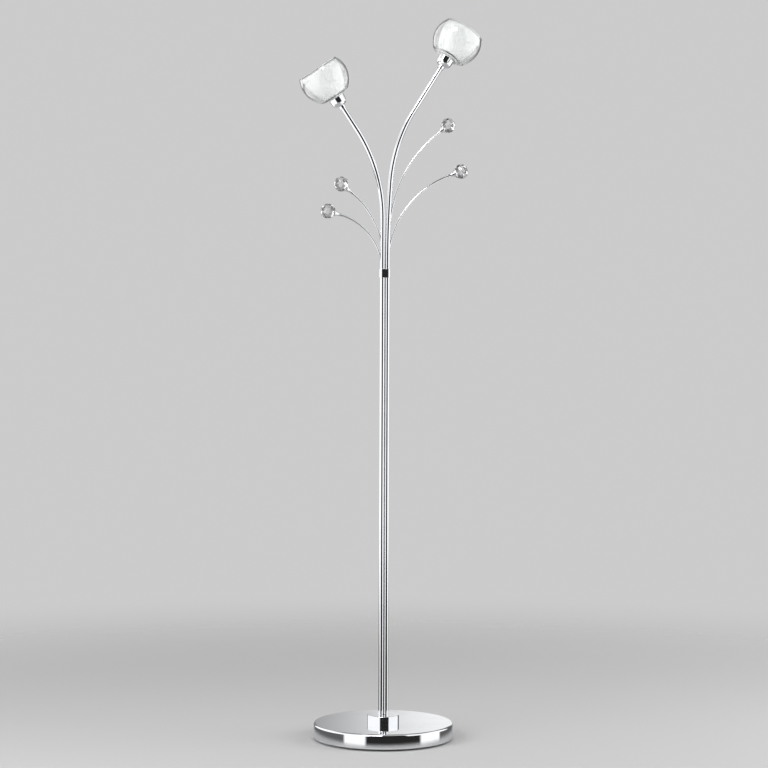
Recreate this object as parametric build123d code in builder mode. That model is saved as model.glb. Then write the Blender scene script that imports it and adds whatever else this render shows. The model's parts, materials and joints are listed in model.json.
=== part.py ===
from build123d import *
import os
from math import atan2, cos, degrees, radians, sin, sqrt, tan

# A floor lamp shaped like a sapling: a weighted disc base, a stem of two tubes side by side,
# two bent arms that each hold a glass shade, and four thin rods that end in crystal balls.
# Millimetres. The origin is the centre of the base on the floor, +Z is up, and the arms
# lie in the XZ plane with the taller one on the +X side.

# Foot ring and bottom plate
foot_height = 4.0
foot_inset = 15.0
foot_width = 25.0
foot_edge_r = 1.0
plate_t = 1.2
plate_gap = 0.4
plate_screw_inset = 15.0
plate_screw_count = 4

# Base cover, spun from sheet with a hemmed lower edge
cover_r = 140.0
cover_height = 29.0
cover_wall = 1.0
cover_edge_r = 4.0
hem_height = 3.0
wire_hole_r = 12.0

# Cement weight
weight_gap = 3.0
recess_r = 55.0
recess_height = 14.8
channel_width = 14.0
channel_overrun = 1.0

# Fasteners of the base
m4_r = 2.0
m4_head_r = 4.0
m4_head_height = 2.5
plate_screw_length = 11.0
insert_r = 4.0
insert_length = 12.0
m6_r = 3.0
m6_head_across = 10.0
m6_head_height = 4.0
m6_engagement = 7.0
bolt_count = 3
bolt_ring_r = 20.0
washer_r = 9.0
washer_t = 1.6

# Clearances
thread_clear = 0.05
hole_clear = 0.3
slip_clear = 0.05
tight_clear = 0.02

# Stem foot and the collar over it
flange_r = 26.0
flange_t = 8.0
boss_r = 15.0
boss_height = 4.0
collar_r = 32.0
collar_height = 15.0
collar_wall = 2.0
collar_edge = 1.2

# Stem tubes and their joint
tube_r = 5.0
tube_wall = 1.0
tube_gap = 0.1
stem_length = 900.0
nipple_length = 40.0
nipple_wall = 1.15
sleeve_length = 17.5
sleeve_wall = 1.5
grub_r = 1.5
grub_length = 2.0
grub_drop = 4.4

# Arms: height of the straight start, bends as radius and lean from vertical, straight end
left_rise = 111.0
left_bend_r = 310.0
left_lean = 34.4
left_reach = 54.0
right_rise = 22.0
right_sway_r = 2180.0
right_sway_lean = 4.2
right_bend_r = 322.0
right_lean = 32.3
right_reach = 106.0

# Branch rods: height of the root above the stem joint, lean at the root, bend, lean at the tip
rod_r = 2.0
rod_root_length = 16.0
rod_socket = 5.0
upper_left_root = 72.3
upper_left_root_lean = 15.8
upper_left_bend_r = 165.9
upper_left_tip_lean = 52.0
lower_left_root = 34.3
lower_left_root_lean = 15.2
lower_left_bend_r = 113.3
lower_left_tip_lean = 74.7
upper_right_root = 118.6
upper_right_root_lean = 9.3
upper_right_bend_r = 266.5
upper_right_tip_lean = 51.3
lower_right_root = 58.7
lower_right_root_lean = 13.1
lower_right_bend_r = 199.3
lower_right_tip_lean = 68.6

# Crystal balls and their trumpet cups
ball_reach = 30.0
ball_r = 15.0
facet_depth = 14.35
seat_clear = 0.15
cup_neck_wall = 0.9
cup_neck_length = 4.0
trumpet_r = 6.3
trumpet_web = 3.0
pin_r = 1.5
pin_depth = 8.0

# Lamp head, measured along its own axis from the end of the arm's centre line
tube_end = 10.8
arm_collar_r = 6.5
arm_collar_height = 6.4
cup_base = 2.4
cup_low_r = 15.3
cup_top_r = 16.2
cup_height = 19.1
cup_wall = 1.2
cup_floor = 3.2
cup_flat = 0.4
cup_inner_corner_r = 4.8
carrier_r = 11.2
carrier_wall = 1.2
carrier_floor = 1.5
carrier_length = 32.4
nut_across = 14.0
nut_height = 3.2
gasket_t = 1.0
gasket_width = 3.0
gasket_clear = 0.05

# Ceramic lampholder, contacts and retaining clip
ceramic_r = 9.8
ceramic_height = 26.9
skirt_r = 8.4
skirt_depth = 4.8
pocket_length = 10.0
pocket_width = 5.0
pocket_depth = 8.0
contact_cavity_length = 3.2
contact_cavity_width = 3.4
contact_cavity_depth = 10.0
contact_strip = 0.5
contact_gap = 1.0
contact_width = 3.0
contact_height = 9.5
contact_tail_r = 0.8
contact_tail_length = 3.7
clip_groove = 0.5
clip_groove_height = 1.2
clip_t = 1.0
clip_width = 1.6
clip_opening = 8.0

# Glass
glass_hole_clear = 0.6
bowl_base_t = 5.0
bowl_r = 50.0
bowl_centre_height = 42.0
bowl_height = 68.0
bowl_wall = 3.0
bowl_flat_r = 18.0
bowl_inner_blend_r = 10.0
cone_base_t = 3.0
cone_base_r = 23.5
cone_mid_r = 33.6
cone_mid_height = 20.5
cone_top_r = 40.3
cone_height = 58.0
cone_wall = 2.6
ring_r = 17.0
ring_t = 5.0
ring_thread_clear = 0.1
ring_seat_clear = 0.1
ring_notch_r = 1.4
ring_notch_count = 12

# Bulb
pinch_length = 9.5
pinch_width = 4.5
pinch_height = 10.0
capsule_r = 6.75
capsule_height = 36.0
capsule_wall = 1.0
capsule_dome_r = 5.0
bulb_pin_r = 0.4
bulb_pin_spacing = 9.0
bulb_pin_length = 4.0
bulb_pin_depth = 5.0
filament_post_r = 0.3
filament_post_spacing = 5.0
filament_post_height = 14.0
filament_r = 0.5

# Wiring
lead_r = 2.0
lead_bend_r = 12.0
lead_entry = 3.0
pole_pitch = 10.0
pole_count = 4
terminal_width = 20.0
terminal_height = 10.0
terminal_y = -36.0
terminal_bore_r = 2.2
terminal_bore_height = 4.8
terminal_screw_r = 1.5
terminal_screw_length = 4.0
terminal_screw_pitch = 10.0
lug_x = 38.0
lug_y = -20.0
lug_r = 5.5
lug_t = 0.8
lug_tail_length = 14.0
lug_tail_width = 4.0
earth_screw_length = 4.0
cord_height = 13.0
cord_bore_r = 3.6
gland_r = 5.0
gland_flange_r = 7.0
gland_flange_t = 2.0
gland_length = 15.0
gland_barb = 0.9
gland_barb_length = 2.6

# Heights and places that follow from the sizes above
foot_outer_r = cover_r - foot_inset
foot_inner_r = foot_outer_r - foot_width
plate_screw_ring_r = foot_inner_r - plate_screw_inset
plate_top = foot_height + plate_t
cover_top = foot_height + cover_height
cover_under = cover_top - cover_wall
recess_top = plate_top + recess_height
weight_r = cover_r - weight_gap
hem_t = 2 * cover_wall
bolt_head_z = recess_top - washer_t - m6_head_height
tube_x = tube_r + tube_gap / 2
tube_bore_r = tube_r - tube_wall
joint_z = cover_top + stem_length
terminal_entry_y = terminal_y + terminal_width / 2
terminal_axis_z = plate_top + terminal_bore_height

tube_hole_r = tube_r + slip_clear
cup_top = cup_base + cup_height
cup_inside = cup_base + cup_floor
cup_wall_turn = atan2(cup_height, cup_top_r - cup_low_r)
cup_corner_r = (cup_low_r - tube_hole_r - cup_flat) / tan(cup_wall_turn / 2)
carrier_top = cup_inside + carrier_length
carrier_chamfer = max(carrier_r - (cup_low_r - cup_wall - cup_inner_corner_r), slip_clear)
ceramic_base = cup_inside + carrier_floor
ceramic_top = ceramic_base + ceramic_height
skirt_top = ceramic_base + skirt_depth
pocket_floor = ceramic_top - pocket_depth
cavity_floor = pocket_floor - contact_cavity_depth
glass_hole_r = carrier_r + glass_hole_clear
bowl_base = cup_top + gasket_t + gasket_clear
bowl_floor = bowl_base + bowl_base_t
cone_floor = bowl_floor + cone_base_t
pinch_top = pocket_floor + pinch_height
capsule_top = pinch_top + capsule_height
sleeve_slot_length = 2 * (tube_x + tube_r + slip_clear)
sleeve_slot_width = 2 * (tube_r + slip_clear)

arms = {
    "left": (-1, left_rise, [(left_bend_r, left_lean)], left_reach),
    "right": (
        1,
        right_rise,
        [(right_sway_r, right_sway_lean), (right_bend_r, right_lean - right_sway_lean)],
        right_reach,
    ),
}

branches = {
    "upper_left": ("left", upper_left_root, upper_left_root_lean, upper_left_bend_r, upper_left_tip_lean),
    "lower_left": ("left", lower_left_root, lower_left_root_lean, lower_left_bend_r, lower_left_tip_lean),
    "upper_right": ("right", upper_right_root, upper_right_root_lean, upper_right_bend_r, upper_right_tip_lean),
    "lower_right": ("right", lower_right_root, lower_right_root_lean, lower_right_bend_r, lower_right_tip_lean),
}


def save(piece, name):
    """Label a finished piece and write its file."""
    piece.part.label = name
    export_step(piece.part, f"parts/{name}.step")


def leaning(side, lean):
    """The direction that leans from vertical by an angle, outwards on one side."""
    return Vector(side * sin(radians(lean)), 0, cos(radians(lean)))


def arm_line(name, tail):
    """An arm's centre line from the stem joint, with its straight end run on by a tail."""
    side, rise, bends, reach = arms[name]
    with BuildLine(Plane.XZ) as line:
        last = Line((side * tube_x, joint_z), (side * tube_x, joint_z + rise))
        for radius, turn in bends:
            last = JernArc(last @ 1, last % 1, radius, -side * turn)
        Line(last @ 1, last @ 1 + (last % 1) * (reach + tail))
    return line.line


def arm_offset(name, height):
    """How far an arm's centre line has leaned out at a height above the joint."""
    rise, bends = arms[name][1:3]
    radius = bends[0][0]
    climb = max(0, height - rise)
    return radius - sqrt(radius**2 - climb**2)


class Head:
    """The planes and the axis of a lamp head, or of a crystal cup at a rod's tip."""

    def __init__(self, origin, along):
        self.origin = origin
        self.along = along
        self.across = Vector(along.Z, 0, -along.X)
        self.axis = Axis(origin, along)
        self.profile = Plane(origin=origin, x_dir=self.across, z_dir=(0, -1, 0))

    def level(self, height):
        return Plane(origin=self.origin + self.along * height, x_dir=self.across, z_dir=self.along)


heads = {}
for name in arms:
    centre_line = arm_line(name, 0)
    heads[name] = Head(centre_line @ 1, centre_line % 1)

# ---- Base ----

with BuildPart() as foot_ring:
    with BuildSketch():
        Circle(foot_outer_r)
        Circle(foot_inner_r, mode=Mode.SUBTRACT)
    extrude(amount=foot_height)
    fillet(foot_ring.edges().group_by(Axis.Z)[0], foot_edge_r)
save(foot_ring, "foot_ring")

with BuildPart() as bottom_plate:
    with BuildSketch(Plane.XY.offset(foot_height)):
        Circle(cover_r - hem_t - plate_gap)
        with PolarLocations(plate_screw_ring_r, plate_screw_count, start_angle=45):
            Circle(m4_r + hole_clear, mode=Mode.SUBTRACT)
        with Locations((lug_x, lug_y)):
            Circle(m4_r + thread_clear, mode=Mode.SUBTRACT)
    extrude(amount=plate_t)
save(bottom_plate, "bottom_plate")

with BuildPart() as base_cover:
    with BuildSketch(Plane.XZ):
        with BuildLine():
            outside = FilletPolyline(
                (cover_r, foot_height + hem_t / 2),
                (cover_r, cover_top),
                (wire_hole_r, cover_top),
                radius=cover_edge_r,
            )
            Line((wire_hole_r, cover_top), (wire_hole_r, cover_under))
            inside = FilletPolyline(
                (wire_hole_r, cover_under),
                (cover_r - cover_wall, cover_under),
                (cover_r - cover_wall, foot_height + hem_height),
                radius=cover_edge_r - cover_wall,
            )
            Line((cover_r - cover_wall, foot_height + hem_height), (cover_r - hem_t, foot_height + hem_height))
            Line((cover_r - hem_t, foot_height + hem_height), (cover_r - hem_t, foot_height + hem_t / 2))
            ThreePointArc(
                (cover_r - hem_t, foot_height + hem_t / 2),
                (cover_r - hem_t / 2, foot_height),
                (cover_r, foot_height + hem_t / 2),
            )
        make_face()
    revolve(axis=Axis.Z)
    with BuildSketch(Plane.XY.offset(cover_under)):
        with PolarLocations(bolt_ring_r, bolt_count, start_angle=90):
            Circle(m6_r + hole_clear)
    extrude(amount=cover_wall, mode=Mode.SUBTRACT)
    with BuildSketch(Plane.XZ.offset(-(cover_r - 2 * hem_t))):
        with Locations((0, cord_height)):
            Circle(gland_r + 2 * slip_clear)
    extrude(amount=-4 * hem_t, mode=Mode.SUBTRACT)
save(base_cover, "base_cover")

with BuildPart() as base_weight:
    with BuildSketch(Plane.XY.offset(plate_top)):
        Circle(weight_r)
    extrude(amount=cover_under - plate_top)
    fillet(base_weight.edges().group_by(Axis.Z)[-1], cover_edge_r)
    with BuildSketch(Plane.XY.offset(plate_top)):
        Circle(recess_r)
        with Locations((0, (weight_r + channel_overrun) / 2)):
            Rectangle(channel_width, weight_r + channel_overrun)
    extrude(amount=recess_height, mode=Mode.SUBTRACT)
    with BuildSketch(Plane.XY.offset(plate_top)):
        Circle(wire_hole_r)
        with PolarLocations(bolt_ring_r, bolt_count, start_angle=90):
            Circle(m6_r + hole_clear)
    extrude(amount=cover_height, mode=Mode.SUBTRACT)
    with BuildSketch(Plane.XY.offset(plate_top)):
        with PolarLocations(plate_screw_ring_r, plate_screw_count, start_angle=45):
            Circle(insert_r + tight_clear)
    extrude(amount=insert_length, mode=Mode.SUBTRACT)
save(base_weight, "base_weight")

with BuildPart() as weight_inserts:
    with BuildSketch(Plane.XY.offset(plate_top)):
        with PolarLocations(plate_screw_ring_r, plate_screw_count, start_angle=45):
            Circle(insert_r)
            Circle(m4_r + thread_clear, mode=Mode.SUBTRACT)
    extrude(amount=insert_length)
save(weight_inserts, "weight_inserts")

with BuildPart() as plate_screws:
    with BuildSketch(Plane.XY.offset(foot_height - m4_head_height)):
        with PolarLocations(plate_screw_ring_r, plate_screw_count, start_angle=45):
            Circle(m4_head_r)
    extrude(amount=m4_head_height)
    fillet(plate_screws.edges().group_by(Axis.Z)[0], m4_head_height / 2)
    with BuildSketch(Plane.XY.offset(foot_height)):
        with PolarLocations(plate_screw_ring_r, plate_screw_count, start_angle=45):
            Circle(m4_r)
    extrude(amount=plate_screw_length)
    with BuildSketch(Plane.XY.offset(foot_height - m4_head_height)):
        with PolarLocations(plate_screw_ring_r, plate_screw_count, start_angle=45):
            Rectangle(m4_r * 2, m4_r / 2)
            Rectangle(m4_r / 2, m4_r * 2)
    extrude(amount=m4_head_height / 2, mode=Mode.SUBTRACT)
save(plate_screws, "plate_screws")

with BuildPart() as stem_foot:
    with BuildSketch(Plane.XY.offset(cover_top)):
        Circle(flange_r)
    extrude(amount=flange_t)
    with BuildSketch(Plane.XY.offset(cover_top + flange_t)):
        Circle(boss_r)
    extrude(amount=boss_height)
    with BuildSketch(Plane.XY.offset(cover_top)):
        SlotOverall(2 * (tube_x + tube_r + tight_clear), 2 * (tube_r + tight_clear))
    extrude(amount=flange_t + boss_height, mode=Mode.SUBTRACT)
    with BuildSketch(Plane.XY.offset(cover_top)):
        with PolarLocations(bolt_ring_r, bolt_count, start_angle=90):
            Circle(m6_r + thread_clear)
    extrude(amount=m6_engagement + hole_clear, mode=Mode.SUBTRACT)
save(stem_foot, "stem_foot")

with BuildPart() as foot_washers:
    with BuildSketch(Plane.XY.offset(recess_top - washer_t)):
        with PolarLocations(bolt_ring_r, bolt_count, start_angle=90):
            Circle(washer_r)
            Circle(m6_r + hole_clear, mode=Mode.SUBTRACT)
    extrude(amount=washer_t)
save(foot_washers, "foot_washers")

with BuildPart() as foot_bolts:
    with BuildSketch(Plane.XY.offset(bolt_head_z)):
        with PolarLocations(bolt_ring_r, bolt_count, start_angle=90):
            RegularPolygon(m6_head_across / 2, 6, major_radius=False)
    extrude(amount=m6_head_height)
    with BuildSketch(Plane.XY.offset(bolt_head_z + m6_head_height)):
        with PolarLocations(bolt_ring_r, bolt_count, start_angle=90):
            Circle(m6_r)
    extrude(amount=cover_top + m6_engagement - bolt_head_z - m6_head_height)
save(foot_bolts, "foot_bolts")

with BuildPart() as base_collar:
    with BuildSketch(Plane.XY.offset(cover_top)):
        Circle(collar_r)
    extrude(amount=collar_height)
    chamfer(base_collar.edges().group_by(Axis.Z)[-1], collar_edge)
    with BuildSketch(Plane.XY.offset(cover_top)):
        Circle(collar_r - collar_wall)
    extrude(amount=collar_height - collar_wall, mode=Mode.SUBTRACT)
    with BuildSketch(Plane.XY.offset(cover_top)):
        SlotOverall(sleeve_slot_length, sleeve_slot_width)
    extrude(amount=collar_height, mode=Mode.SUBTRACT)
save(base_collar, "base_collar")

# ---- Wiring in the base ----

terminal_length = pole_pitch * pole_count
with BuildPart() as terminal_block:
    with BuildSketch(Plane.XY.offset(plate_top)):
        with Locations((0, terminal_y)):
            Rectangle(terminal_length, terminal_width)
    extrude(amount=terminal_height)
    with BuildSketch(Plane.XZ.offset(-terminal_entry_y)):
        with Locations((0, terminal_axis_z)):
            with GridLocations(pole_pitch, 1, pole_count, 1):
                Circle(terminal_bore_r)
    extrude(amount=terminal_width, mode=Mode.SUBTRACT)
    with BuildSketch(Plane.XY.offset(terminal_axis_z)):
        with Locations((0, terminal_y)):
            with GridLocations(pole_pitch, terminal_screw_pitch, pole_count, 2):
                Circle(terminal_screw_r + thread_clear)
    extrude(amount=terminal_height, mode=Mode.SUBTRACT)
save(terminal_block, "terminal_block")

with BuildPart() as terminal_screws:
    with BuildSketch(Plane.XY.offset(plate_top + terminal_height)):
        with Locations((0, terminal_y)):
            with GridLocations(pole_pitch, terminal_screw_pitch, pole_count, 2):
                Circle(terminal_screw_r)
    extrude(amount=-terminal_screw_length)
save(terminal_screws, "terminal_screws")

with BuildPart() as earth_lug:
    with BuildSketch(Plane.XY.offset(plate_top)):
        with Locations((lug_x, lug_y - lug_tail_length / 2)):
            Rectangle(lug_tail_width, lug_tail_length)
        with Locations((lug_x, lug_y)):
            Circle(lug_r)
            Circle(m4_r + hole_clear, mode=Mode.SUBTRACT)
    extrude(amount=lug_t)
save(earth_lug, "earth_lug")

with BuildPart() as earth_screw:
    with BuildSketch(Plane.XY.offset(plate_top + lug_t)):
        with Locations((lug_x, lug_y)):
            Circle(m4_head_r)
    extrude(amount=m4_head_height)
    with BuildSketch(Plane.XY.offset(plate_top + lug_t)):
        with Locations((lug_x, lug_y)):
            Circle(m4_r)
    extrude(amount=-earth_screw_length)
save(earth_screw, "earth_screw")

gland_inner_y = cover_r + gland_flange_t - gland_length
barb_y = sqrt((cover_r - cover_wall) ** 2 - (gland_r + gland_barb) ** 2) - slip_clear
with BuildPart() as cord_gland:
    with BuildSketch(Plane.YZ):
        with BuildLine():
            Polyline(
                (gland_inner_y, cord_height + cord_bore_r),
                (gland_inner_y, cord_height + gland_r),
                (barb_y - gland_barb_length, cord_height + gland_r),
                (barb_y, cord_height + gland_r + gland_barb),
                (barb_y, cord_height + gland_r),
                (cover_r, cord_height + gland_r),
                (cover_r, cord_height + gland_flange_r),
                (cover_r + gland_flange_t, cord_height + gland_flange_r),
                (cover_r + gland_flange_t, cord_height + cord_bore_r),
                close=True,
            )
        make_face()
    revolve(axis=Axis((0, 0, cord_height), (0, 1, 0)))
save(cord_gland, "cord_gland")

# ---- Stem ----

for name in arms:
    with BuildPart() as stem_tube:
        with BuildSketch(Plane.XY.offset(cover_top)):
            with Locations((arms[name][0] * tube_x, 0)):
                Circle(tube_r)
                Circle(tube_bore_r, mode=Mode.SUBTRACT)
        extrude(amount=stem_length)
    save(stem_tube, f"stem_tube_{name}")

nipple_r = tube_bore_r - slip_clear
with BuildPart() as joint_nipples:
    with BuildSketch(Plane.XY.offset(joint_z - nipple_length / 2)):
        with GridLocations(2 * tube_x, 1, 2, 1):
            Circle(nipple_r)
            Circle(nipple_r - nipple_wall, mode=Mode.SUBTRACT)
    extrude(amount=nipple_length)
save(joint_nipples, "joint_nipples")

grub_plane = Plane(origin=(0, tube_r + slip_clear, joint_z - grub_drop), x_dir=(1, 0, 0), z_dir=(0, 1, 0))
with BuildPart() as joint_sleeve:
    with BuildSketch(Plane.XY.offset(joint_z - sleeve_length / 2)):
        SlotOverall(sleeve_slot_length + 2 * sleeve_wall, sleeve_slot_width + 2 * sleeve_wall)
        SlotOverall(sleeve_slot_length, sleeve_slot_width, mode=Mode.SUBTRACT)
    extrude(amount=sleeve_length)
    with BuildSketch(grub_plane):
        with GridLocations(2 * tube_x, 1, 2, 1):
            Circle(grub_r + thread_clear)
    extrude(amount=2 * sleeve_wall, mode=Mode.SUBTRACT)
save(joint_sleeve, "joint_sleeve")

with BuildPart() as sleeve_screws:
    with BuildSketch(grub_plane):
        with GridLocations(2 * tube_x, 1, 2, 1):
            Circle(grub_r)
    extrude(amount=grub_length)
save(sleeve_screws, "sleeve_screws")

# ---- Arms and the wiring inside them ----

arm_cores = {}
for name in arms:
    side = arms[name][0]
    centre_line = arm_line(name, tube_end)
    with BuildPart() as arm_core:
        with BuildSketch(Plane.XY.offset(joint_z)):
            with Locations((side * tube_x, 0)):
                Circle(tube_r)
        sweep(path=centre_line.edges())
    arm_cores[name] = arm_core

    with BuildPart() as arm_tube:
        with BuildSketch(Plane.XY.offset(joint_z)):
            with Locations((side * tube_x, 0)):
                Circle(tube_r)
                Circle(tube_bore_r, mode=Mode.SUBTRACT)
        sweep(path=centre_line.edges())
    save(arm_tube, f"arm_tube_{name}")

    entry = Vector(side * tube_x, terminal_entry_y - lead_entry, terminal_axis_z)
    bend_start = Vector(side * tube_x, -lead_bend_r, terminal_axis_z)
    bend_middle = Vector(
        side * tube_x,
        -lead_bend_r * (1 - sin(radians(45))),
        terminal_axis_z + lead_bend_r * (1 - cos(radians(45))),
    )
    bend_end = Vector(side * tube_x, 0, terminal_axis_z + lead_bend_r)
    with BuildPart() as lead:
        with BuildLine() as lead_line:
            Line(entry, bend_start)
            ThreePointArc(bend_start, bend_middle, bend_end)
            Line(bend_end, Vector(side * tube_x, 0, joint_z))
            add(arm_line(name, skirt_top))
        with BuildSketch(Plane(origin=entry, x_dir=(1, 0, 0), z_dir=(0, 1, 0))):
            Circle(lead_r)
        sweep()
    save(lead, f"lead_{name}")

# ---- Branch rods with their cups, pins and crystal balls ----

# Facet normals in staggered rows, as lean from the ball's far pole and number of facets
facet_rows = [(0, 1), (26, 6), (52, 10), (78, 12), (104, 12), (130, 10), (156, 6), (180, 1)]
with BuildPart() as crystal:
    Box(3 * ball_r, 3 * ball_r, 3 * ball_r)
    for row, (lean, count) in enumerate(facet_rows):
        for facet in range(count):
            spin = radians((facet + row / 2) * 360 / count)
            normal = Vector(sin(radians(lean)) * cos(spin), sin(radians(lean)) * sin(spin), cos(radians(lean)))
            split(bisect_by=Plane(origin=normal * facet_depth, z_dir=normal), keep=Keep.BOTTOM)
    with BuildSketch(Plane.XY.offset(-facet_depth)):
        Circle(pin_r + slip_clear)
    extrude(amount=pin_depth, mode=Mode.SUBTRACT)

seat_r = ball_r + seat_clear
pin_hole_r = pin_r + slip_clear
lip_height = ball_reach - sqrt(seat_r**2 - trumpet_r**2)
neck_r = rod_r + cup_neck_wall
pin_base = rod_socket + trumpet_web
cup_heads = {}
for name, (arm, root, root_lean, bend_r, tip_lean) in branches.items():
    side = arms[arm][0]
    root_x = tube_x + arm_offset(arm, root) + tube_r
    first_lean = root_lean - degrees(rod_root_length / bend_r)
    back_x = bend_r * (cos(radians(first_lean)) - cos(radians(root_lean)))
    back_z = bend_r * (sin(radians(root_lean)) - sin(radians(first_lean)))
    first = Vector(side * (root_x - back_x), 0, joint_z + root - back_z)
    with BuildPart() as branch_rod:
        with BuildLine(Plane.XZ) as rod_line:
            bend = JernArc(first, leaning(side, first_lean), bend_r, -side * (tip_lean - first_lean))
            Line(bend @ 1, bend @ 1 + (bend % 1) * rod_socket)
        with BuildSketch(Plane(origin=first, z_dir=leaning(side, first_lean))):
            Circle(rod_r)
        sweep()
        add(arm_cores[arm].part, mode=Mode.SUBTRACT)
    save(branch_rod, f"branch_rod_{name}")

    tip = Head(bend @ 1, bend % 1)
    cup_heads[name] = tip
    with BuildPart() as crystal_cup:
        with BuildSketch(tip.profile):
            with BuildLine():
                Polyline(
                    (pin_hole_r, ball_reach - sqrt(seat_r**2 - pin_hole_r**2)),
                    (pin_hole_r, pin_base),
                    (0, pin_base),
                    (0, rod_socket),
                    (rod_r + tight_clear, rod_socket),
                    (rod_r + tight_clear, 0),
                    (neck_r, 0),
                    (neck_r, cup_neck_length),
                )
                TangentArc((neck_r, cup_neck_length), (trumpet_r, lip_height - cup_neck_wall), tangent=(0, 1))
                Line((trumpet_r, lip_height - cup_neck_wall), (trumpet_r, lip_height))
                middle_r = (trumpet_r + pin_hole_r) / 2
                ThreePointArc(
                    (trumpet_r, lip_height),
                    (middle_r, ball_reach - sqrt(seat_r**2 - middle_r**2)),
                    (pin_hole_r, ball_reach - sqrt(seat_r**2 - pin_hole_r**2)),
                )
            make_face()
        revolve(axis=tip.axis)
    save(crystal_cup, f"crystal_cup_{name}")

    with BuildPart() as crystal_ball:
        with Locations(tip.level(ball_reach)):
            add(crystal.part)
    save(crystal_ball, f"crystal_ball_{name}")

with BuildPart() as crystal_pins:
    for tip in cup_heads.values():
        with BuildSketch(tip.level(pin_base)):
            Circle(pin_r)
        extrude(amount=ball_reach - facet_depth + pin_depth - slip_clear - pin_base)
save(crystal_pins, "crystal_pins")

# ---- Lamp heads ----

bowl_middle = bowl_base + bowl_centre_height


def blend_tangent(flat_r, blend_r, sphere_r, floor):
    """Where a blend between a flat floor and a sphere about the bowl's middle meets the sphere."""
    away = Vector(flat_r, floor + blend_r - bowl_middle)
    return away.normalized() * sphere_r + Vector(0, bowl_middle)


def blend_centre_r(blend_r, sphere_r, floor):
    """How far out a blend of this radius sits, between a flat floor and the bowl's sphere."""
    drop = bowl_middle - floor - blend_r
    return sqrt((sphere_r - blend_r) ** 2 - drop**2)


def sphere_point(sphere_r, height):
    """The point of a sphere about the bowl's middle at a height on the head's axis."""
    return (sqrt(sphere_r**2 - (height - bowl_middle) ** 2), height)


bowl_inner_r = bowl_r - bowl_wall
bowl_rim = bowl_base + bowl_height
bowl_outer_blend_r = (bowl_r**2 - bowl_centre_height**2 - bowl_flat_r**2) / (2 * (bowl_r - bowl_centre_height))
inner_flat_r = blend_centre_r(bowl_inner_blend_r, bowl_inner_r, bowl_floor)
outer_tangent = blend_tangent(bowl_flat_r, bowl_outer_blend_r, bowl_r, bowl_base)
inner_tangent = blend_tangent(inner_flat_r, bowl_inner_blend_r, bowl_inner_r, bowl_floor)

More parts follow.
